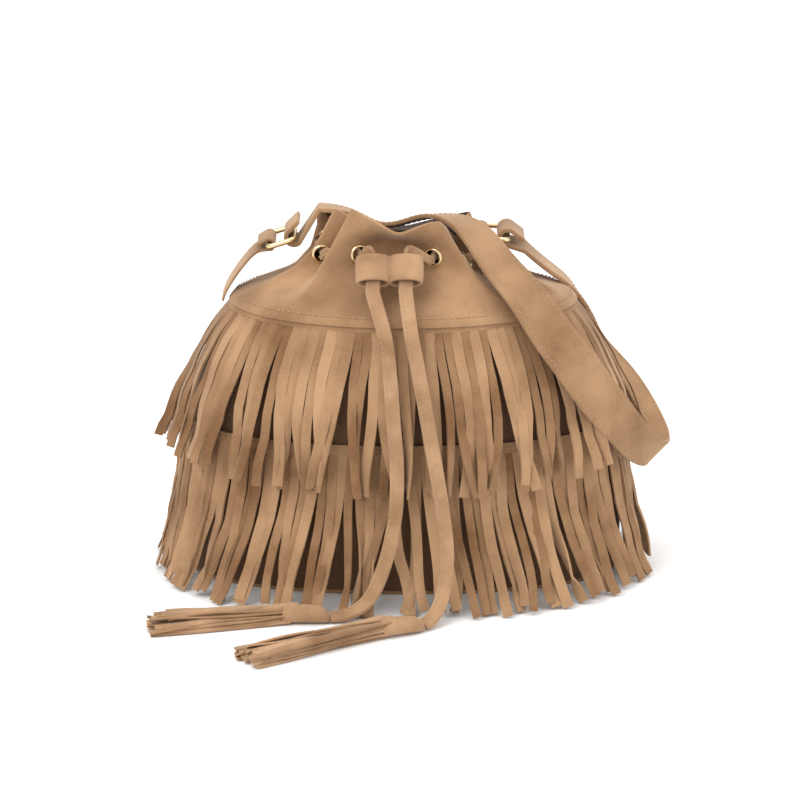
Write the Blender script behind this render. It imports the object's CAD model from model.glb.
"""Fringed suede drawstring bag, standing with its mouth drawn shut and its strap on the right."""
import math

import bmesh
import bpy
import numpy as np
from mathutils import Matrix, Vector


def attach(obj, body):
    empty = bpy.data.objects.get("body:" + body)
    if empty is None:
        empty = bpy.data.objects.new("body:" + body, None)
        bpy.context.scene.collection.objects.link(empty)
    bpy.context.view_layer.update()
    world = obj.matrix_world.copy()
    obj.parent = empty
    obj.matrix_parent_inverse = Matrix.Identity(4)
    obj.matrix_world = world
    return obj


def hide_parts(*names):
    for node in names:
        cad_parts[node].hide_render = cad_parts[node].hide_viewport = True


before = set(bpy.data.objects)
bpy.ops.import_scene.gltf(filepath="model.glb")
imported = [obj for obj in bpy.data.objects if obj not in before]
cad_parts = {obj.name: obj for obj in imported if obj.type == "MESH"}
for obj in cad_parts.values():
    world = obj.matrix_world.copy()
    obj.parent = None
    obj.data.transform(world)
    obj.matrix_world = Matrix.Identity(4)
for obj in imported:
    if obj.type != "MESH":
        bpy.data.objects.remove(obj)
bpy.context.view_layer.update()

# ---- room ---------------------------------------------------------------------------------------
# A plain pale floor that runs back to a pale wall of light. Two wide soft lamps above, one on each
# side, and a weak one in front that opens up the fringe.
scene = bpy.context.scene
scene.view_settings.view_transform = "Standard"
world = bpy.data.worlds.new("studio")
world.use_nodes = True
world.node_tree.nodes["Background"].inputs["Color"].default_value = (1.0, 1.0, 1.0, 1.0)
world.node_tree.nodes["Background"].inputs["Strength"].default_value = 1.0
scene.world = world

bpy.ops.mesh.primitive_plane_add(size=8.0, location=(0, 0, -0.0002))
floor = bpy.context.object
floor.name = "floor"
paper = bpy.data.materials.new("paper")
paper.use_nodes = True
paper.node_tree.nodes["Principled BSDF"].inputs["Base Color"].default_value = (0.93, 0.93, 0.93, 1)
paper.node_tree.nodes["Principled BSDF"].inputs["Roughness"].default_value = 0.9
floor.data.materials.append(paper)


def soft_lamp(name, place, aim, size, watts):
    data = bpy.data.lights.new(name, "AREA")
    data.size, data.energy = size, watts
    lamp = bpy.data.objects.new(name, data)
    scene.collection.objects.link(lamp)
    lamp.location = place
    lamp.rotation_euler = (Vector(aim) - Vector(place)).to_track_quat("-Z", "Y").to_euler()
    return lamp


soft_lamp("key", (-0.9, -1.0, 1.5), (0, 0, 0.10), 1.0, 14.0)
soft_lamp("fill", (1.3, -0.7, 1.0), (0, 0, 0.12), 1.2, 5.0)
soft_lamp("top", (0.1, 0.3, 1.6), (0, 0, 0.10), 1.0, 7.0)

camera = bpy.data.objects.new("camera", bpy.data.cameras.new("camera"))
scene.collection.objects.link(camera)
camera.data.lens = 169.5
CAMERA_AIM, CAMERA_FAR, CAMERA_DOWN = Vector((-0.002, -0.010, 0.110)), 2.40, math.radians(17.0)
camera.location = CAMERA_AIM + Vector((0, -math.cos(CAMERA_DOWN), math.sin(CAMERA_DOWN))) * CAMERA_FAR
camera.rotation_euler = (CAMERA_AIM - camera.location).to_track_quat("-Z", "Y").to_euler()
scene.camera = camera

# ---- base ---------------------------------------------------------------------------------------
# Stiff oval bottom covered in the same suede as the walls. It is the first piece, so the suede
# itself is made here: a short nap that is lighter and darker where it has been brushed.
BASE_THICK = 0.0025
BODY_LEVELS = [                 # height, half width, half depth, squareness of the plan
    (0.0029, 0.139, 0.070, 2.3), (0.030, 0.140, 0.074, 2.3), (0.060, 0.140, 0.076, 2.25),
    (0.090, 0.138, 0.077, 2.2), (0.120, 0.132, 0.077, 2.15), (0.140, 0.125, 0.075, 2.1),
    (0.160, 0.116, 0.072, 2.0), (0.1776, 0.104, 0.067, 2.0)]


def nap_group():
    """Brushed patches as a 0 to 1 tone, and the bumps of the short fibres as a normal."""
    group = bpy.data.node_groups.new("suede nap", "ShaderNodeTree")
    for name, kind, way, value in (("Patch Size", "NodeSocketFloat", "INPUT", 28.0),
                                   ("Fibre Size", "NodeSocketFloat", "INPUT", 900.0),
                                   ("Depth", "NodeSocketFloat", "INPUT", 0.35),
                                   ("Tone", "NodeSocketFloat", "OUTPUT", None),
                                   ("Normal", "NodeSocketVector", "OUTPUT", None)):
        socket = group.interface.new_socket(name, in_out=way, socket_type=kind)
        if value is not None:
            socket.default_value = value
    nodes, links = group.nodes, group.links
    given, out = nodes.new("NodeGroupInput"), nodes.new("NodeGroupOutput")
    place = nodes.new("ShaderNodeTexCoord")
    patches, fibres = nodes.new("ShaderNodeTexNoise"), nodes.new("ShaderNodeTexNoise")
    patches.inputs["Detail"].default_value = 5.0
    fibres.inputs["Detail"].default_value = 3.0
    links.new(given.outputs["Patch Size"], patches.inputs["Scale"])
    links.new(given.outputs["Fibre Size"], fibres.inputs["Scale"])
    for noise in (patches, fibres):
        links.new(place.outputs["Object"], noise.inputs["Vector"])
    spread = nodes.new("ShaderNodeMapRange")
    spread.inputs["From Min"].default_value, spread.inputs["From Max"].default_value = 0.32, 0.68
    links.new(patches.outputs["Fac"], spread.inputs["Value"])
    mixed = nodes.new("ShaderNodeMix")
    mixed.inputs["Factor"].default_value = 0.38
    links.new(spread.outputs["Result"], mixed.inputs["A"])
    links.new(fibres.outputs["Fac"], mixed.inputs["B"])
    bump = nodes.new("ShaderNodeBump")
    bump.inputs["Distance"].default_value = 0.0006
    links.new(given.outputs["Depth"], bump.inputs["Strength"])
    links.new(fibres.outputs["Fac"], bump.inputs["Height"])
    links.new(mixed.outputs["Result"], out.inputs["Tone"])
    links.new(bump.outputs["Normal"], out.inputs["Normal"])
    return group


NAP = nap_group()


def suede(name, dark, light, patch=28.0, depth=0.35):
    """Suede between two tones, with a soft sheen along its edges."""
    material = bpy.data.materials.new(name)
    material.use_nodes = True
    nodes, links = material.node_tree.nodes, material.node_tree.links
    shader = nodes["Principled BSDF"]
    nap = nodes.new("ShaderNodeGroup")
    nap.node_tree = NAP
    nap.inputs["Patch Size"].default_value = patch
    nap.inputs["Depth"].default_value = depth
    tone = nodes.new("ShaderNodeMix")
    tone.data_type = "RGBA"
    tone.inputs["A"].default_value, tone.inputs["B"].default_value = (*dark, 1), (*light, 1)
    own = nodes.new("ShaderNodeAttribute")      # each cut strip is a little lighter or darker
    own.attribute_name = "shade"
    shift = nodes.new("ShaderNodeMath")
    shift.use_clamp = True
    links.new(nap.outputs["Tone"], shift.inputs[0])
    links.new(own.outputs["Fac"], shift.inputs[1])
    links.new(shift.outputs["Value"], tone.inputs["Factor"])
    links.new(tone.outputs["Result"], shader.inputs["Base Color"])
    links.new(nap.outputs["Normal"], shader.inputs["Normal"])
    shader.inputs["Roughness"].default_value = 0.95
    shader.inputs["Specular IOR Level"].default_value = 0.15
    shader.inputs["Sheen Weight"].default_value = 0.35
    shader.inputs["Sheen Roughness"].default_value = 0.45
    shader.inputs["Sheen Tint"].default_value = (1.0, 0.86, 0.70, 1.0)
    return material


TAN = suede("suede", (0.190, 0.095, 0.042), (0.470, 0.285, 0.155))
TAN_LIGHT = suede("suede light", (0.235, 0.125, 0.060), (0.50, 0.31, 0.175), patch=45.0)


def body_size(z):
    """Half width, half depth and squareness of the walls at height z."""
    table = np.array(BODY_LEVELS)
    return [float(np.interp(z, table[:, 0], table[:, k])) for k in (1, 2, 3)]


def plan_point(angle, z, grow=0.0):
    """A point on the body's outline at height z, grown outwards."""
    half_width, half_depth, square = body_size(z)
    c, s = math.cos(angle), math.sin(angle)
    x = (half_width + grow) * math.copysign(abs(c) ** (2 / square), c)
    y = (half_depth + grow) * math.copysign(abs(s) ** (2 / square), s)
    return Vector((x, y, z))


def plain_object(name, bm, material, smooth=True):
    mesh = bpy.data.meshes.new(name)
    bm.to_mesh(mesh)
    bm.free()
    obj = bpy.data.objects.new(name, mesh)
    scene.collection.objects.link(obj)
    mesh.materials.append(material)
    if smooth:
        mesh.shade_smooth()
    return obj


def grid(rows, closed=False):
    """A skin of quads through rows of points, and its corners."""
    bm = bmesh.new()
    verts = [[bm.verts.new(p) for p in row] for row in rows]
    count = len(rows[0])
    for r in range(len(rows) - 1):
        for c in range(count if closed else count - 1):
            d = (c + 1) % count
            bm.faces.new((verts[r][c], verts[r][d], verts[r + 1][d], verts[r + 1][c]))
    return bm, verts


def settle(obj):
    """Turns an object's modifiers into plain mesh."""
    made = bpy.data.meshes.new_from_object(obj.evaluated_get(bpy.context.evaluated_depsgraph_get()))
    obj.modifiers.clear()
    obj.data = made
    return obj


def walls(obj, thickness, offset=-1.0, rounding=0.0):
    wall = obj.modifiers.new("wall", "SOLIDIFY")
    wall.thickness, wall.offset, wall.use_even_offset = thickness, offset, True
    if rounding:
        edge = obj.modifiers.new("edge", "BEVEL")
        edge.width, edge.segments, edge.limit_method = rounding, 2, "ANGLE"
        edge.angle_limit = math.radians(50)
    settle(obj)
    obj.data.shade_smooth()
    obj.data.set_sharp_from_angle(angle=math.radians(50))
    return obj


ROUND = [2 * math.pi * i / 120 for i in range(120)]
soft = BASE_THICK * 0.3
ring_rows = [[plan_point(a, 0.0029, -inset) * Vector((1, 1, 0)) + Vector((0, 0, z)) for a in ROUND]
             for inset, z in ((soft, 0), (0, soft), (0, BASE_THICK - soft), (soft, BASE_THICK))]
bm, verts = grid(ring_rows, closed=True)
bm.faces.new(list(reversed(verts[0])))
bm.faces.new(verts[-1])
base = plain_object("base", bm, TAN, smooth=False)
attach(base, "bag")
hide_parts("base_panel")

# ---- lining -------------------------------------------------------------------------------------
# A dark woven pouch inside the walls, open at the top.
weave = bpy.data.materials.new("lining")
weave.use_nodes = True
nodes, links = weave.node_tree.nodes, weave.node_tree.links
place = nodes.new("ShaderNodeTexCoord")
threads = nodes.new("ShaderNodeTexWave")
threads.bands_direction = "Z"
threads.inputs["Scale"].default_value = 420.0
threads.inputs["Distortion"].default_value = 1.5
tone = nodes.new("ShaderNodeMix")
tone.data_type = "RGBA"
tone.inputs["A"].default_value = (0.030, 0.015, 0.010, 1)
tone.inputs["B"].default_value = (0.062, 0.034, 0.022, 1)
links.new(place.outputs["Object"], threads.inputs["Vector"])
links.new(threads.outputs["Fac"], tone.inputs["Factor"])
links.new(tone.outputs["Result"], nodes["Principled BSDF"].inputs["Base Color"])
nodes["Principled BSDF"].inputs["Roughness"].default_value = 0.85
heights = [0.0033, 0.03, 0.06, 0.09, 0.12, 0.14, 0.16, 0.172]
bm, verts = grid([[plan_point(a, z, -0.0024) for a in ROUND] for z in heights], closed=True)
bm.faces.new(list(reversed(verts[0])))
pouch = walls(plain_object("pouch", bm, weave), 0.0010)
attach(pouch, "bag")
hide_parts("lining")

# ---- walls --------------------------------------------------------------------------------------
# Front and back panel, sewn together at the sides. Only slivers show between the fringe strips.
SHADE = suede("suede in shade", (0.085, 0.042, 0.021), (0.16, 0.085, 0.046))
for side, start in (("front", -math.pi), ("back", 0.0)):
    angles = np.linspace(start + 0.007, start + math.pi - 0.007, 70)
    bm, verts = grid([[plan_point(a, z) for a in angles] for z in np.linspace(0.0029, 0.1776, 24)])
    panel = walls(plain_object("wall_" + side, bm, SHADE), 0.0016)
    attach(panel, "bag")
    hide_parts(f"body_{side}_panel")

# ---- fringe -------------------------------------------------------------------------------------
# Two rows, the upper one over the lower. Each row is a sewn-on band cut into narrow strips that
# hang free, swing a little sideways and curl at their square ends.
STRIP_WIDE, STRIP_THICK, BAND = 0.0064, 0.0014, 0.0065


def strips_along(name, lines, wide, thick, material):
    """Strips cut from hide. Each line is (points, faces), where faces says which way it looks.

    The strips come from a node tree that sweeps one flat profile along every line.
    """
    bm = bmesh.new()
    facing = bm.verts.layers.float_vector.new("facing")
    scale, shade = bm.verts.layers.float.new("wide"), bm.verts.layers.float.new("shade")
    for points, faces, size in lines:
        last, own = None, 2.4 * (size - 0.97)
        for point, face in zip(points, faces):
            vert = bm.verts.new(point)
            vert[facing], vert[scale], vert[shade] = face, size, own
            if last:
                bm.edges.new((last, vert))
            last = vert
    obj = plain_object(name, bm, material, smooth=False)
    tree = bpy.data.node_groups.new(name + " strips", "GeometryNodeTree")
    tree.interface.new_socket("Geometry", in_out="INPUT", socket_type="NodeSocketGeometry")
    sizes = {}
    for label in ("Width", "Thickness"):
        sizes[label] = tree.interface.new_socket(label, in_out="INPUT", socket_type="NodeSocketFloat")
    leather = tree.interface.new_socket("Leather", in_out="INPUT", socket_type="NodeSocketMaterial")
    tree.interface.new_socket("Geometry", in_out="OUTPUT", socket_type="NodeSocketGeometry")
    nodes, links = tree.nodes, tree.links
    given, out = nodes.new("NodeGroupInput"), nodes.new("NodeGroupOutput")
    to_curve = nodes.new("GeometryNodeMeshToCurve")
    turn = nodes.new("GeometryNodeSetCurveNormal")
    turn.mode = "FREE"
    look = nodes.new("GeometryNodeInputNamedAttribute")
    look.data_type = "FLOAT_VECTOR"
    look.inputs["Name"].default_value = "facing"
    size = nodes.new("GeometryNodeInputNamedAttribute")
    size.data_type = "FLOAT"
    size.inputs["Name"].default_value = "wide"
    profile = nodes.new("GeometryNodeCurvePrimitiveQuadrilateral")
    sweep = nodes.new("GeometryNodeCurveToMesh")
    sweep.inputs["Fill Caps"].default_value = True
    join = nodes.new("GeometryNodeRealizeInstances")
    dress = nodes.new("GeometryNodeSetMaterial")
    links.new(given.outputs["Geometry"], to_curve.inputs["Mesh"])
    links.new(to_curve.outputs["Curve"], turn.inputs["Curve"])
    links.new(look.outputs["Attribute"], turn.inputs["Normal"])
    links.new(given.outputs["Thickness"], profile.inputs["Width"])
    links.new(given.outputs["Width"], profile.inputs["Height"])
    links.new(turn.outputs["Curve"], sweep.inputs["Curve"])
    links.new(profile.outputs["Curve"], sweep.inputs["Profile Curve"])
    links.new(size.outputs["Attribute"], sweep.inputs["Scale"])
    links.new(sweep.outputs["Mesh"], join.inputs["Geometry"])
    links.new(join.outputs["Geometry"], dress.inputs["Geometry"])
    links.new(given.outputs["Leather"], dress.inputs["Material"])
    links.new(dress.outputs["Geometry"], out.inputs["Geometry"])
    cut = obj.modifiers.new("strips", "NODES")
    cut.node_group = tree
    cut[sizes["Width"].identifier] = wide
    cut[sizes["Thickness"].identifier] = thick
    cut[leather.identifier] = material
    settle(obj)
    for vert in obj.data.vertices:      # nothing reaches into the floor
        vert.co.z = max(vert.co.z, 0.0003)
    return obj


def repeat(name, piece, places, material):
    """Copies of a small piece, one at each (place, turn, size), made by a node tree."""
    bm = bmesh.new()
    turn, size = bm.verts.layers.float_vector.new("turn"), bm.verts.layers.float.new("size")
    for place, spin, scale in places:
        vert = bm.verts.new(place)
        vert[turn], vert[size] = Vector(spin), scale
    obj = plain_object(name, bm, material, smooth=False)
    tree = bpy.data.node_groups.new(name + " copies", "GeometryNodeTree")
    tree.interface.new_socket("Geometry", in_out="INPUT", socket_type="NodeSocketGeometry")
    what = tree.interface.new_socket("Piece", in_out="INPUT", socket_type="NodeSocketObject")
    look = tree.interface.new_socket("Finish", in_out="INPUT", socket_type="NodeSocketMaterial")
    tree.interface.new_socket("Geometry", in_out="OUTPUT", socket_type="NodeSocketGeometry")
    nodes, links = tree.nodes, tree.links
    given, out = nodes.new("NodeGroupInput"), nodes.new("NodeGroupOutput")
    to_points, copies = nodes.new("GeometryNodeMeshToPoints"), nodes.new("GeometryNodeInstanceOnPoints")
    info, real = nodes.new("GeometryNodeObjectInfo"), nodes.new("GeometryNodeRealizeInstances")
    dress = nodes.new("GeometryNodeSetMaterial")
    fields = {}
    for label, kind in (("turn", "FLOAT_VECTOR"), ("size", "FLOAT")):
        fields[label] = nodes.new("GeometryNodeInputNamedAttribute")
        fields[label].data_type = kind
        fields[label].inputs["Name"].default_value = label
    links.new(given.outputs["Geometry"], to_points.inputs["Mesh"])
    links.new(to_points.outputs["Points"], copies.inputs["Points"])
    links.new(given.outputs["Piece"], info.inputs["Object"])
    links.new(info.outputs["Geometry"], copies.inputs["Instance"])
    links.new(fields["turn"].outputs["Attribute"], copies.inputs["Rotation"])
    links.new(fields["size"].outputs["Attribute"], copies.inputs["Scale"])
    links.new(copies.outputs["Instances"], real.inputs["Geometry"])
    links.new(real.outputs["Geometry"], dress.inputs["Geometry"])
    links.new(given.outputs["Finish"], dress.inputs["Material"])
    links.new(dress.outputs["Geometry"], out.inputs["Geometry"])
    copier = obj.modifiers.new("copies", "NODES")
    copier.node_group = tree
    copier[what.identifier] = piece
    copier[look.identifier] = material
    settle(obj)
    obj.data.shade_smooth()
    return obj


THREAD = suede("thread", (0.34, 0.21, 0.12), (0.46, 0.31, 0.19), patch=200.0, depth=0.1)
bm = bmesh.new()
bmesh.ops.create_uvsphere(bm, u_segments=8, v_segments=6, radius=0.5)
bmesh.ops.scale(bm, vec=(0.0026, 0.0007, 0.0006), verts=bm.verts)
STITCH = plain_object("one stitch", bm, THREAD)
scene.collection.objects.unlink(STITCH)


def stitch_row(name, line, faces, pitch=0.0036, body="bag"):
    """Short stitches end to end along a line; faces gives the way the leather looks at each point."""
    line = [Vector(p) for p in line]
    steps = [(q - p).length for p, q in zip(line, line[1:])]
    reach = np.cumsum([0.0] + steps)
    places = []
    for s in np.arange(pitch / 2, reach[-1], pitch):
        k = min(int(np.searchsorted(reach, s)) - 1, len(steps) - 1)
        t = (s - reach[k]) / steps[k]
        along = (line[k + 1] - line[k]).normalized()
        out = faces[k].lerp(faces[k + 1], t)
        out = (out - along * out.dot(along)).normalized()
        across = out.cross(along)
        spin = Matrix((along, across, out)).transposed().to_euler()
        places.append((line[k].lerp(line[k + 1], t) + out * 0.0001, spin, 1.0))
    obj = repeat(name, STITCH, places, THREAD)
    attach(obj, body)
    return obj


def spaced_angles(count, z):
    """Angles that divide the outline at height z into equal lengths."""
    fine = np.linspace(-math.pi, math.pi, 1441)
    pts = np.array([tuple(plan_point(a, z)) for a in fine])
    reach = np.concatenate([[0], np.cumsum(np.linalg.norm(np.diff(pts, axis=0), axis=1))])
    return [float(np.interp(reach[-1] * (i + 0.5) / count, reach, fine)) for i in range(count)]


def outward(angle, z):
    """The level direction straight out of the wall."""
    along = plan_point(angle + 0.01, z) - plan_point(angle - 0.01, z)
    return along.cross(Vector((0, 0, 1))).normalized()


def upper_offset(share, angle):
    """How far an upper strip stands off the wall, share of the way down."""
    return 0.0013 + 0.0062 * share


def lower_offset(share, angle):
    """Close to the wall at first, then flared over the floor, most at the front and back."""
    reach = 0.036 if angle < 0 else 0.027
    flare = 0.007 + (reach - 0.007) * abs(math.sin(angle)) ** 1.5
    bend = max(0.0, (share - 0.30) / 0.70)
    return 0.0011 + 0.0016 * min(share, 0.30) / 0.30 + flare * bend ** 1.5


def fringe_row(name, count, top, tip_at, offset, spread_at, plumb, seed, nodes_replaced):
    """One band of strips round the bag. tip_at gives the height of a strip's end, offset how far it
    stands off the wall, and plumb how far the middle strips turn back towards hanging straight."""
    rng = np.random.default_rng(seed)
    lines = []
    for number, angle in enumerate(spaced_angles(count, spread_at)):
        low = tip_at(angle) + rng.uniform(-0.004, 0.004)
        low = max(low, 0.0012)
        lift, sway = rng.uniform(0, 1) ** 1.6 * 0.008, rng.normal(0, 0.030)
        curl, twist = rng.normal(0, 0.6), rng.normal(0, 0.8)
        wave, phase = rng.uniform(0.0, 0.026), rng.uniform(0, 6.28)
        points, faces = [], []
        for s in np.linspace(0, 1, 14):
            z = (top - BAND + 0.0006) * (1 - s) + low * s
            share = (top - z) / (top - low)
            a = angle + plumb * math.sin(2 * angle) * s + sway * s ** 1.6 \
                + wave * s * math.sin(phase + 5.5 * s)
            ripple = 0.0020 * math.sin(phase * 3 + 9 * s) * s
            grow = (offset(share, angle) + STRIP_THICK / 2 + lift * s ** 1.5 + abs(ripple)
                    + 0.0013 * (number % 2) * min(1.0, 5 * s)
                    + 0.003 * abs(curl) * s ** 5)
            point = plan_point(a, max(z, 0.003), grow)
            point.z = max(z, 0.0010 + 0.0016 * rng.uniform(0, 1) * s)
            face = outward(a, max(z, 0.003))
            if len(points) > 0:
                path = (point - points[-1]).normalized()
                face = (face - path * face.dot(path)).normalized()
                face = Matrix.Rotation(twist * s ** 2 * (1.0 if z > 0.012 else 0.3), 3, path) @ face
            points.append(point)
            faces.append(face)
        lines.append((points, faces, float(rng.uniform(0.82, 1.10))))
    strips = strips_along(name, lines, STRIP_WIDE, STRIP_THICK, TAN)
    angles = np.linspace(-math.pi, math.pi, 181)[:-1]
    rows = [[plan_point(a, z, offset((top - z) / (top - 0.003), a)) for a in angles]
            for z in (top - BAND, top - BAND / 2, top)]
    band = walls(plain_object(name + "_band", grid(rows, closed=True)[0], TAN), STRIP_THICK, 1.0)
    for obj in (band, strips):
        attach(obj, "bag")
    strips.data.shade_smooth()
    strips.data.set_sharp_from_angle(angle=math.radians(40))
    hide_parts(*nodes_replaced)
    if name == "fringe_top":        # sewn under the yoke's own stitch line
        return
    closed = list(angles) + [angles[0]]
    level = top - 0.0032
    out = offset((top - level) / (top - 0.003), 0) + STRIP_THICK
    stitch_row(name + "_stitches", [plan_point(a, level, out) for a in closed],
               [outward(a, level) for a in closed])


fringe_row("fringe_low", 124, 0.101, lambda a: 0.0022, lower_offset, 0.10, 0.02, 3,
           ("lower_fringe_front", "lower_fringe_back"))
fringe_row("fringe_top", 102, 0.1776, lambda a: 0.072 + 0.014 * abs(math.cos(a)) ** 2,
           upper_offset, 0.15, 0.11, 8, ("upper_fringe_front", "upper_fringe_back"))

# ---- yoke ---------------------------------------------------------------------------------------
# The gathered top: a tube of suede drawn into six outward lobes with valleys between them. Each
# fold is given at its foot on the seam, at the eyelets and at the rim. It is dark inside.
YOKE_THICK, EYELET_STRIP = 0.0016, 0.0080
FOLDS = [
    (-92, (-0.004, -0.024, 0.2120), (-0.004, -0.050, 0.2280)),    # front valley
    (-52, (0.041, -0.045, 0.2090), (0.022, -0.040, 0.2360)),      # front right lobe
    (-36, (0.038, -0.018, 0.2070), (0.033, -0.019, 0.2200)),
    (-12, (0.068, -0.026, 0.2060), (0.046, -0.011, 0.2180)),      # right lobe
    (14, (0.035, 0.011, 0.2050), (0.032, 0.010, 0.2170)),         # right side seam
    (46, (0.053, 0.041, 0.2055), (0.045, 0.041, 0.2220)),         # rear right lobe
    (90, (-0.002, 0.016, 0.2075), (-0.003, 0.024, 0.2130)),       # rear valley
    (134, (-0.060, 0.036, 0.2075), (-0.057, 0.034, 0.2260)),      # rear left lobe
    (166, (-0.040, 0.011, 0.2065), (-0.042, 0.011, 0.2200)),      # left side seam
    (192, (-0.063, -0.020, 0.2075), (-0.043, -0.021, 0.2390)),    # left lobe
    (215, (-0.039, -0.018, 0.2095), (-0.035, -0.023, 0.2340)),
    (231, (-0.050, -0.045, 0.2130), (-0.032, -0.035, 0.2420)),    # front left lobe
]


def fold_levels(k):
    """One fold at the seam, below and above the eyelets, and at the rim."""
    angle, eyelet, rim = FOLDS[k % len(FOLDS)]
    foot = plan_point(math.radians(angle), 0.1776) + Vector((0, 0, 0.0004 + YOKE_THICK))
    mid, top = Vector(eyelet), Vector(rim)
    up = ((mid - foot).normalized() + (top - mid).normalized()).normalized()
    above = mid + up * EYELET_STRIP * min(1.0, (top - mid).length / EYELET_STRIP * 0.6)
    return [foot, mid - up * EYELET_STRIP, above, top]


def fold_at(k, v):
    """The same fold anywhere between the seam (v = 0) and the rim (v = 3)."""
    levels = fold_levels(k)
    i = min(int(v), 2)
    return levels[i].lerp(levels[i + 1], v - i)




def outline_row(z, grow):
    """The body's outline as twelve points from each fold to the next, in step with the fold rows."""
    row = []
    for k in range(len(FOLDS)):
        angle, after = (math.radians(FOLDS[j % len(FOLDS)][0]) for j in (k, k + 1))
        after += 2 * math.pi if after < angle else 0.0
        row += [plan_point(angle + (after - angle) * i / 12, z, grow) for i in range(12)]
    return row[-4:] + row[:-4]


rows = [outline_row(z, grow) for z, grow in ((0.1752, 0.0048), (0.1770, 0.0046), (0.1790, 0.0034))]
for v in (0.06, 0.12, 0.2, 0.3, 0.45, 0.6, 0.8, 0.92, 1.0, 1.25, 1.5, 1.75, 2.0, 2.1, 2.35, 2.6,
          2.8, 3.0):
    row = []
    for k in range(len(FOLDS)):
        before, here, after = (fold_at(j, v) for j in (k - 1, k, k + 1))
        enter, leave = here.lerp(before, 0.17), here.lerp(after, 0.17)
        row += [enter.lerp(here, t).lerp(here.lerp(leave, t), t) for t in np.linspace(0, 1, 8)]
        row += [leave.lerp(after.lerp(here, 0.17), t) for t in (0.2, 0.4, 0.6, 0.8)]
    if v < 0.45:                # it leaves the seam round and only then gathers into folds
        full = (1 - v / 0.45) ** 1.3
        row = [p.lerp(Vector((*q.to_2d(), p.z)), full)
               for p, q in zip(row, outline_row(0.1776, 0.0024 - 0.022 * v))]
    rows.append(row)
yoke = plain_object("yoke", grid(rows, closed=True)[0], TAN)
creases = bpy.data.textures.new("creases", "CLOUDS")
creases.noise_scale = 0.016
crumple = yoke.modifiers.new("creases", "DISPLACE")
crumple.texture, crumple.strength, crumple.mid_level = creases, 0.0014, 0.5
crumple.texture_coords = "LOCAL"
yoke.data.materials.append(weave)
wall = yoke.modifiers.new("wall", "SOLIDIFY")
wall.thickness, wall.offset, wall.use_even_offset, wall.material_offset = YOKE_THICK, -1, True, 1
wall.material_offset_rim = 0
settle(yoke)


def eyelet_frame(k):
    """Middle of the flank after fold k, halfway through the suede, and the way it looks."""
    here, after = fold_levels(k), fold_levels(k + 1)
    low, high = here[1].lerp(after[1], 0.5), here[2].lerp(after[2], 0.5)
    out = (after[1] + after[2] - here[1] - here[2]).cross(high - low).normalized()
    return low.lerp(high, 0.5) - out * YOKE_THICK / 2, out


EYELETS = [eyelet_frame(k) for k in range(len(FOLDS))]
bm = bmesh.new()
for place, out in EYELETS:
    turn = Matrix.Translation(place) @ out.to_track_quat("Z", "Y").to_matrix().to_4x4()
    bmesh.ops.create_cone(bm, cap_ends=True, segments=32, radius1=0.0051, radius2=0.0051,
                          depth=0.008, matrix=turn)
punch = plain_object("punch", bm, TAN, smooth=False)
holes = yoke.modifiers.new("holes", "BOOLEAN")
holes.operation, holes.solver, holes.object = "DIFFERENCE", "EXACT", punch
holes.use_self = True
settle(yoke)
bpy.data.objects.remove(punch)
yoke.data.shade_smooth()
yoke.data.set_sharp_from_angle(angle=math.radians(50))
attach(yoke, "bag")
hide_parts("yoke_front", "yoke_back")
seam_line = [a.lerp(b, 0.5) for a, b in zip(rows[2], rows[3])]
seam_line.append(seam_line[0])
seam_looks = [(p * Vector((1, 2.2, 0))).normalized() + Vector((0, 0, 0.35)) for p in seam_line]
stitch_row("yoke_stitches", [p + n * 0.0005 for p, n in zip(seam_line, seam_looks)], seam_looks)

# ---- eyelets ------------------------------------------------------------------------------------
# Twelve rolled brass rings in the flanks of the folds, for the drawstring.
BRASS = bpy.data.materials.new("brass")
BRASS.use_nodes = True
nodes, links = BRASS.node_tree.nodes, BRASS.node_tree.links
place = nodes.new("ShaderNodeTexCoord")
wear = nodes.new("ShaderNodeTexNoise")
wear.inputs["Scale"].default_value = 160.0
rough = nodes.new("ShaderNodeMapRange")
rough.inputs["To Min"].default_value, rough.inputs["To Max"].default_value = 0.16, 0.36
links.new(place.outputs["Object"], wear.inputs["Vector"])
links.new(wear.outputs["Fac"], rough.inputs["Value"])
links.new(rough.outputs["Result"], nodes["Principled BSDF"].inputs["Roughness"])
nodes["Principled BSDF"].inputs["Base Color"].default_value = (0.78, 0.62, 0.36, 1)
nodes["Principled BSDF"].inputs["Metallic"].default_value = 1.0
inner, outer, face = 0.0045, 0.0065, YOKE_THICK / 2
profile = [(inner, -face - 0.0004), (inner, face + 0.0006), (inner + 0.0003, face + 0.0011),
           (inner + 0.0008, face + 0.0013), (inner + 0.0014, face + 0.0009), (outer, face + 0.0001),
           (outer, face - 0.0003), (inner + 0.0006, face - 0.0003), (inner + 0.0006, -face + 0.0002),
           (outer, -face + 0.0002), (outer, -face - 0.0003), (inner + 0.0006, -face - 0.0009)]
turns = [2 * math.pi * i / 40 for i in range(40)]
rings_of = [[Vector((r * math.cos(t), r * math.sin(t), z)) for t in turns] for r, z in profile]
bm = grid(rings_of + [rings_of[0]], closed=True)[0]
bmesh.ops.remove_doubles(bm, verts=bm.verts, dist=1e-6)
bmesh.ops.recalc_face_normals(bm, faces=bm.faces)
one_eyelet = plain_object("one eyelet", bm, BRASS)
scene.collection.objects.unlink(one_eyelet)
spots = [(place, out.to_track_quat("Z", "Y").to_euler(), 1.0) for place, out in EYELETS]
eyelets = repeat("eyelet_rings", one_eyelet, spots, BRASS)
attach(eyelets, "bag")
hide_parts(*[f"eyelet_{k:02d}" for k in range(1, 13)])

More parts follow.
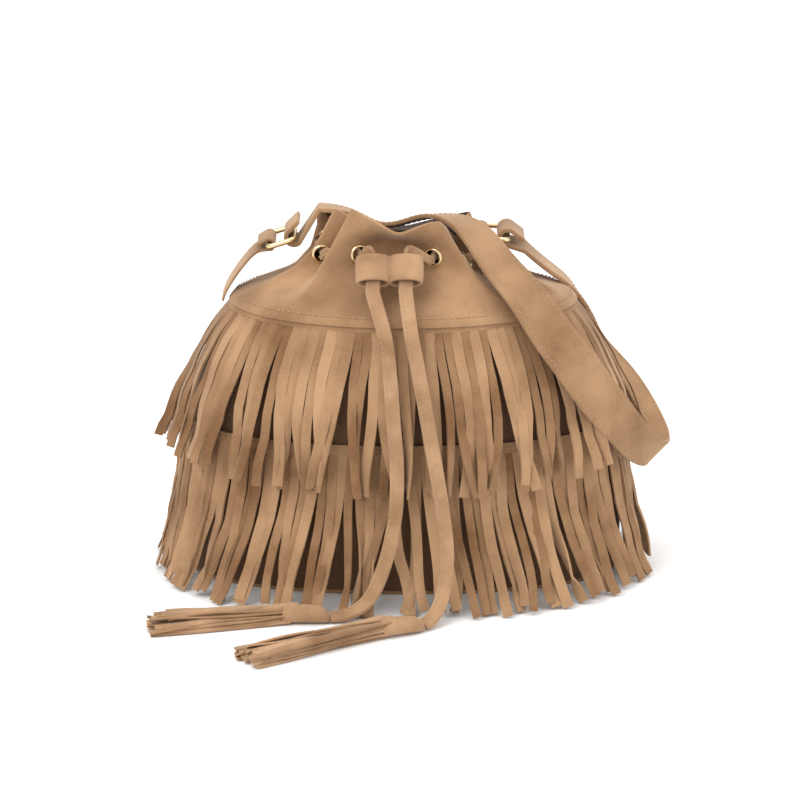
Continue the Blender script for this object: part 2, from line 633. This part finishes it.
# ---- drawstring and toggle ----------------------------------------------------------------------
# A folded strip of suede. It is threaded in and out through the eyelets, both ends go through a
# sewn toggle of two tubes, and then hang over the fringe and along the floor.
TOGGLE_AT = Vector((-0.0085, -0.0540, 0.2085))
TOGGLE_SLIDE = Vector((0.0, -0.72, -0.69)).normalized()
TUBE_WIDE, TUBE_DEEP, TOGGLE_LONG = 0.0215, 0.0115, 0.0155
CORD_WIDE, CORD_THICK = 0.0088, 0.0028


def smooth_line(points, spacing):
    """Points at an even spacing along a smooth curve through the given ones."""
    pts = [Vector(p) for p in points]
    pts = [2 * pts[0] - pts[1]] + pts + [2 * pts[-1] - pts[-2]]
    fine = []
    for a, b, c, d in zip(pts, pts[1:], pts[2:], pts[3:]):
        for k in range(24):
            t = k / 24
            fine.append(0.5 * (2 * b + (c - a) * t + (2 * a - 5 * b + 4 * c - d) * t * t
                               + (3 * b - a - 3 * c + d) * t ** 3))
    fine.append(pts[-2])
    length = np.cumsum([0.0] + [(q - p).length for p, q in zip(fine, fine[1:])])
    wanted = np.linspace(0, length[-1], max(3, round(length[-1] / spacing) + 1))
    xyz = np.array([tuple(p) for p in fine])
    return [Vector([float(np.interp(s, length, xyz[:, k])) for k in range(3)]) for s in wanted]


def strip_along(name, line, faces, wide, thick, material, rounding=0.0005):
    """One flat strip through a line, with softened edges."""
    sides = []
    for i, point in enumerate(line):
        along = (line[min(i + 1, len(line) - 1)] - line[max(i - 1, 0)]).normalized()
        across = along.cross(faces[i]).normalized()
        size = wide[i] if isinstance(wide, list) else wide
        sides.append([point + across * size * t for t in (-0.5, -0.25, 0.0, 0.25, 0.5)])
    strip = plain_object(name, grid(sides)[0], material)
    return walls(strip, thick, 0.0, rounding)


def toggle_top(side):
    across = Vector((side * TUBE_WIDE * 0.47, 0, 0))
    return TOGGLE_AT + across - TOGGLE_SLIDE * (TOGGLE_LONG / 2 + 0.0015)


route = [toggle_top(1), toggle_top(1) - TOGGLE_SLIDE * 0.004 + Vector((0.003, 0.002, 0))]
for k, (place, out) in enumerate(EYELETS):
    inward = 1 if k % 2 == 0 else -1
    if inward < 0:
        middle = (EYELETS[k - 1][0] + place) / 2
        route.append(middle - Vector((0.03 * middle.x, 0.03 * middle.y, 0.0012)))
    before, after = (min(0.0055, share * (EYELETS[j % len(EYELETS)][0] - place).length)
                     for j, share in ((k - 1, 0.26 + 0.04 * inward), (k + 1, 0.26 - 0.04 * inward)))
    route += [place + out * before * inward, place, place - out * after * inward]
route += [toggle_top(-1) - TOGGLE_SLIDE * 0.004 + Vector((-0.003, 0.002, 0)), toggle_top(-1)]
held = smooth_line(route, 0.0018)
string = strip_along("string_held", held, [Vector((0, 0, 1)).cross(
    (held[min(i + 1, len(held) - 1)] - held[max(i - 1, 0)]).normalized()).normalized()
    for i in range(len(held))], 0.0050, 0.0024, TAN_LIGHT)
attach(string, "bag")
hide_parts("drawstring")

oval = [2 * math.pi * i / 40 for i in range(40)]
to_toggle = (Matrix.Translation(TOGGLE_AT) @ TOGGLE_SLIDE.to_track_quat("Z", "X").to_matrix().to_4x4()
             @ Matrix.Rotation(math.pi / 2, 4, "Z"))
for side in (-1, 1):
    rows = []
    for z in np.linspace(-TOGGLE_LONG / 2, TOGGLE_LONG / 2 + 0.003, 7):
        puff = 1.0 + 0.03 * math.cos(z / TOGGLE_LONG * math.pi)
        rows.append([to_toggle @ Vector((side * TUBE_WIDE * 0.47 + TUBE_WIDE / 2 * puff * math.cos(t),
                                         TUBE_DEEP / 2 * puff * math.sin(t), z)) for t in oval])
    label = "toggle_tube_" + ("left" if side < 0 else "right")
    tube = walls(plain_object(label, grid(rows, closed=True)[0], TAN_LIGHT), 0.0017, -1.0, 0.0004)
    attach(tube, "toggle")
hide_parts("toggle")
sign = 1.0 if (to_toggle.to_3x3() @ Vector((0, 1, 0))).y < 0 else -1.0
front = [to_toggle @ Vector((0.0, sign * 0.0024, z)) for z in np.linspace(-0.007, 0.007, 9)]
stitch_row("toggle_stitches", front, [to_toggle.to_3x3() @ Vector((0, sign, 0))] * 9,
           pitch=0.0028, body="toggle")

LEFT_END = [(-0.0115, -0.0815, 0.173), (-0.0080, -0.0880, 0.148), (-0.0060, -0.0910, 0.120),
            (-0.0040, -0.0930, 0.094), (-0.0045, -0.0960, 0.066), (-0.0100, -0.1060, 0.038),
            (-0.0200, -0.1150, 0.015), (-0.0330, -0.1190, 0.0055), (-0.0450, -0.1200, 0.0035)]
RIGHT_END = [(0.0050, -0.0815, 0.173), (0.0100, -0.0885, 0.148), (0.0150, -0.0920, 0.120),
             (0.0200, -0.0950, 0.092), (0.0245, -0.0990, 0.064), (0.0270, -0.1080, 0.038),
             (0.0240, -0.1190, 0.016), (0.0180, -0.1280, 0.0060), (0.0120, -0.1340, 0.0035)]
ends = {}
for side, sign, places in (("left", -1, LEFT_END), ("right", 1, RIGHT_END)):
    start = TOGGLE_AT + Vector((sign * TUBE_WIDE * 0.47, 0, 0)) - TOGGLE_SLIDE * 0.0075
    straight = [start + TOGGLE_SLIDE * step for step in (0.0, 0.010, 0.020, 0.026)]
    line = smooth_line(straight + [Vector(p) for p in places], 0.003)
    faces = []
    for i, point in enumerate(line):
        low = max(0.0, 1.0 - point.z / 0.030)
        faces.append(Vector((0.15 * sign, -1.0, 0.2)).lerp(Vector((0, -0.2, 1.0)), low).normalized())
    end = strip_along("string_end_" + side, line, faces, CORD_WIDE, CORD_THICK, TAN_LIGHT)
    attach(end, "bag")
    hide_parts("drawstring_end_" + side)
    edge, looks = [], []
    for i, point in enumerate(line[3:-1], 3):
        along = (line[i + 1] - line[i - 1]).normalized()
        across = along.cross(faces[i]).normalized()
        out = across.cross(along).normalized()
        out = out if out.dot(faces[i]) > 0 else -out
        edge.append(point + across * CORD_WIDE * 0.30 + out * CORD_THICK / 2)
        looks.append(out)
    seam = stitch_row("string_stitches_" + side, edge, looks, pitch=0.0034)
    ends[side] = (end, line, seam)

# ---- tassels ------------------------------------------------------------------------------------
# A rolled head bound with a narrow strip, and a bundle of thin strips lying on the floor.
TASSELS = {                     # where the head begins, where it ends, where the strips end
    "left": ((-0.0500, -0.1205, 0.0062), (-0.0730, -0.1195, 0.0068), (-0.1560, -0.1330, 0.0066)),
    "right": ((0.0080, -0.1370, 0.0062), (-0.0130, -0.1450, 0.0068), (-0.0950, -0.1900, 0.0066))}
rng = np.random.default_rng(21)
for side, (neck, shoulder, tip) in TASSELS.items():
    neck, shoulder, tip = Vector(neck), Vector(shoulder), Vector(tip)
    along = (shoulder - neck).normalized()
    across = along.cross(Vector((0, 0, 1))).normalized()
    rows = []
    for share, wide, high in ((-0.22, 0.0020, 0.0022), (-0.12, 0.0044, 0.0040), (0.05, 0.0058, 0.0050),
                              (0.3, 0.0064, 0.0054), (0.62, 0.0066, 0.0055), (0.66, 0.0073, 0.0060),
                              (0.92, 0.0074, 0.0061), (0.96, 0.0068, 0.0056), (1.05, 0.0062, 0.0050)):
        middle = neck.lerp(shoulder, share)
        middle.z = high + 0.0004
        rows.append([middle + across * wide * math.cos(t) + Vector((0, 0, high * math.sin(t)))
                     for t in [2 * math.pi * i / 28 for i in range(28)]])
    bm, verts = grid(rows, closed=True)
    bm.faces.new(list(reversed(verts[0])))
    bm.faces.new(verts[-1])
    bmesh.ops.recalc_face_normals(bm, faces=bm.faces)
    head = plain_object("tassel_cap_" + side, bm, TAN_LIGHT)
    head.data.set_sharp_from_angle(angle=math.radians(45))
    run = (tip - shoulder)
    way = run.normalized()
    sideways = way.cross(Vector((0, 0, 1))).normalized()
    lines = []
    for i in range(44):
        spread = rng.uniform(-1, 1)
        layer = rng.uniform(0, 1)
        long = run.length * rng.uniform(0.90, 1.06)
        phase, swing = rng.uniform(0, 6.28), rng.uniform(0.0006, 0.0026)
        points, faces = [], []
        for s in np.linspace(0, 1, 12):
            off = spread * (0.0042 + 0.0078 * s ** 1.3) + swing * s * math.sin(phase + 4 * s)
            height = 0.0012 + layer * (0.0095 - 0.0030 * s) + 0.0012 * math.sin(phase * 2 + 5 * s) * s
            points.append(Vector((*(shoulder - way * 0.003 + way * long * s + sideways * off).to_2d(),
                                  max(0.0009, height))))
            tilt = 0.7 * math.sin(phase + 3 * s)
            faces.append((Vector((0, 0, 1)) + sideways * tilt).normalized())
        lines.append((points, faces, float(rng.uniform(0.85, 1.1))))
    tail = strips_along("tassel_strips_" + side, lines, 0.0054, 0.0013, TAN_LIGHT)
    for obj in (head, tail):
        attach(obj, "bag")
    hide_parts("tassel_head_" + side)
    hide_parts("tassel_" + side)
    end, line, seam = ends[side]

# ---- side tabs and rings ------------------------------------------------------------------------
# A short strip sewn into each side seam is folded round one bar of a flat brass ring.
RINGS = {"left": (Vector((-0.0850, 0.010, 0.2100)), Vector((-0.0690, 0.010, 0.2150))),
         "right": (Vector((0.0500, 0.012, 0.2150)), Vector((0.0660, 0.012, 0.2140)))}
RING_WIRE, RING_HALF, CORNER = 0.0035, 0.01775, 0.003
for side, (tab_bar, strap_bar) in RINGS.items():
    reach = (strap_bar - tab_bar).normalized()
    span = (strap_bar - tab_bar).length
    curve = bpy.data.curves.new("side_ring_" + side, "CURVE")
    curve.dimensions = "3D"
    curve.bevel_depth, curve.bevel_resolution = RING_WIRE / 2, 5
    points = []
    for over, along, start in ((RING_HALF, span, 0), (-RING_HALF, span, 90),
                               (-RING_HALF, 0, 180), (RING_HALF, 0, 270)):
        hub = (over - math.copysign(CORNER, over), along - CORNER if along else CORNER)
        for step in range(0, 91, 15):
            t = math.radians(start + step)
            points.append(tab_bar + Vector((0, 1, 0)) * (hub[0] + CORNER * math.cos(t))
                          + reach * (hub[1] + CORNER * math.sin(t)))
    spline = curve.splines.new("POLY")
    spline.points.add(len(points) - 1)
    for spot, place in zip(spline.points, points):
        spot.co = (*place, 1.0)
    spline.use_cyclic_u = True
    ring = bpy.data.objects.new("side_ring_" + side, curve)
    scene.collection.objects.link(ring)
    curve.materials.append(BRASS)
    spline.use_smooth = True
    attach(ring, "ring_" + side)
    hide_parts("ring_" + side)


def loop_round(bar, leave, thickness, slack, turn_sign):
    """A strip's turn round a bar lying along Y; leave is the way the strip goes off."""
    lift = Vector((0, 1, 0)).cross(leave)
    lift = lift if lift.z > 0 else -lift
    radius = RING_WIRE / 2 + slack + thickness / 2
    return [bar - leave * radius * math.cos(math.radians(d))
            + lift * radius * math.sin(math.radians(d)) * turn_sign for d in range(-90, 91, 15)]


def ribbon(name, places, widths, thickness, material, cuts=8, rounding=0.0005):
    rows = [[p + w * (c / cuts - 0.5) for c in range(cuts + 1)] for p, w in zip(places, widths)]
    return walls(plain_object(name, grid(rows)[0], material), thickness, 0.0, rounding)


TABS = {"left": ([(-0.1145, 0.010, 0.1735), (-0.1115, 0.010, 0.1810), (-0.1030, 0.010, 0.1940),
                  (-0.0930, 0.010, 0.2050)], 0.0265),
        "right": ([(0.0365, 0.012, 0.2110), (0.0385, 0.012, 0.2135), (0.0425, 0.012, 0.2148)], 0.007)}
for side, (foot, foot_width) in TABS.items():
    bar = RINGS[side][0]
    leave = (Vector(foot[-1]) - bar).normalized()
    leave.y = 0.0
    turn = loop_round(bar, leave, 0.0015, 0.0010, 1)
    line = smooth_line([Vector(p) for p in foot] + [turn[0]], 0.003)[:-1] + turn
    line.append(turn[-1] + leave * 0.006)
    ramp = [min(1.0, (p - line[0]).length / 0.006) for p in line]
    widths = [Vector((0, foot_width + (0.0265 - foot_width) * t, 0)) for t in ramp]
    tab = ribbon("tab_" + side, line, widths, 0.0015, TAN, rounding=0.0003)
    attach(tab, "bag")
    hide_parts("side_tab_" + side)

# ---- shoulder strap -----------------------------------------------------------------------------
# One wide strip, sewn along both edges. It leaves the left ring, crosses the closed mouth, hangs
# down in a long loop at the right and comes back up to the right ring.
STRAP_THICK = 0.0026
STRAP_ROUTE = [                 # centre of the strip, then the reach from its near to its far edge
    ((-0.053, 0.014, 0.2305), (0.000, 0.0280, -0.0030)),
    ((-0.032, 0.010, 0.2290), (0.000, 0.0285, -0.0040)),
    ((-0.0115, 0.001, 0.2200), (0.000, 0.0277, -0.0084)),
    ((0.009, -0.002, 0.2285), (0.000, 0.0277, -0.0084)),
    ((0.0225, -0.0085, 0.2310), (0.009, 0.0270, -0.0070)),
    ((0.0335, -0.0150, 0.2310), (0.013, 0.0240, -0.0020)),
    ((0.0470, -0.0250, 0.2225), (0.017, 0.0220, 0.0030)),
    ((0.0580, -0.0385, 0.2087), (0.019, 0.0190, 0.0046)),
    ((0.0775, -0.0540, 0.1895), (0.021, 0.0180, 0.0070)),
    ((0.0905, -0.0615, 0.1710), (0.023, 0.0150, 0.0100)),
    ((0.1070, -0.0630, 0.1490), (0.024, 0.0140, 0.0100)),
    ((0.1220, -0.0590, 0.1270), (0.022, 0.0140, 0.0140)),
    ((0.1360, -0.0520, 0.1080), (0.022, 0.0160, 0.0100)),
    ((0.1475, -0.0400, 0.0910), (0.019, 0.0180, 0.0120)),
    ((0.1580, -0.0265, 0.0790), (0.0175, 0.0200, 0.0100)),
    ((0.1632, -0.0195, 0.0755), (0.0170, 0.0210, 0.0100)),
    ((0.1650, -0.0130, 0.0770), (0.0170, 0.0210, 0.0100)),
    ((0.1615, -0.0060, 0.0830), (0.0160, 0.0210, 0.0110)),
    ((0.1570, 0.0075, 0.0920), (0.015, 0.0210, 0.0120)),
    ((0.1475, 0.0215, 0.1125), (0.001, 0.0250, 0.0130)),
    ((0.1325, 0.0330, 0.1285), (-0.006, 0.0230, 0.0150)),
    ((0.1205, 0.0400, 0.1520), (-0.011, 0.0240, 0.0100)),
    ((0.1085, 0.0270, 0.1760), (-0.005, 0.0280, 0.0020)),
    ((0.0890, 0.0160, 0.1935), (-0.001, 0.0290, 0.0000)),
    ((0.0770, 0.0125, 0.2055), (0.000, 0.0290, 0.0000))]
centres = [Vector(c) for c, w in STRAP_ROUTE]
reaches = [Vector(w) for c, w in STRAP_ROUTE]
line = smooth_line(centres, 0.0025)
widths = []
for point in line:
    near = min(range(len(centres) - 1), key=lambda i: (point - centres[i]).length
               + (point - centres[i + 1]).length - (centres[i + 1] - centres[i]).length)
    a, b = (point - centres[near]).length, (point - centres[near + 1]).length
    widths.append(reaches[near].lerp(reaches[near + 1], a / (a + b) if a + b else 0.0))
for _ in range(30):             # no sharp change of direction along the strip
    line = [line[0]] + [(a + b * 2 + c) / 4 for a, b, c in zip(line, line[1:], line[2:])] + [line[-1]]
for _ in range(40):             # lets the strip turn gently from one station to the next
    widths = [widths[0]] + [(a + b * 2 + c) / 4 for a, b, c in zip(widths, widths[1:], widths[2:])] \
        + [widths[-1]]
tails = []
for bar, close in ((RINGS["left"][1], line[0]), (RINGS["right"][1], line[-1])):
    leave = close - bar
    leave.y = 0.0
    turn = loop_round(bar, leave.normalized(), STRAP_THICK, 0.0020, -1)
    tails.append([turn[0] + leave.normalized() * 0.009] + turn)
loop = Vector((0, 0.0270, 0))
line = tails[0] + line + list(reversed(tails[1]))
widths = [loop] * len(tails[0]) + widths + [loop] * len(tails[1])
strap = ribbon("strap", line, widths, STRAP_THICK, TAN, cuts=10)
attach(strap, "bag")
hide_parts("shoulder_strap")
for edge in (-1, 1):
    for side in (-1, 1):
        seam, looks = [], []
        for i in range(len(tails[0]) + 2, len(line) - len(tails[1]) - 2):
            along = (line[i + 1] - line[i - 1]).normalized()
            out = along.cross(widths[i]).normalized() * side
            seam.append(line[i] + widths[i] * 0.41 * edge + out * (STRAP_THICK / 2))
            looks.append(out)
        label = ("near" if edge < 0 else "far") + ("_out" if side > 0 else "_in")
        stitch_row("strap_stitches_" + label, seam, looks)
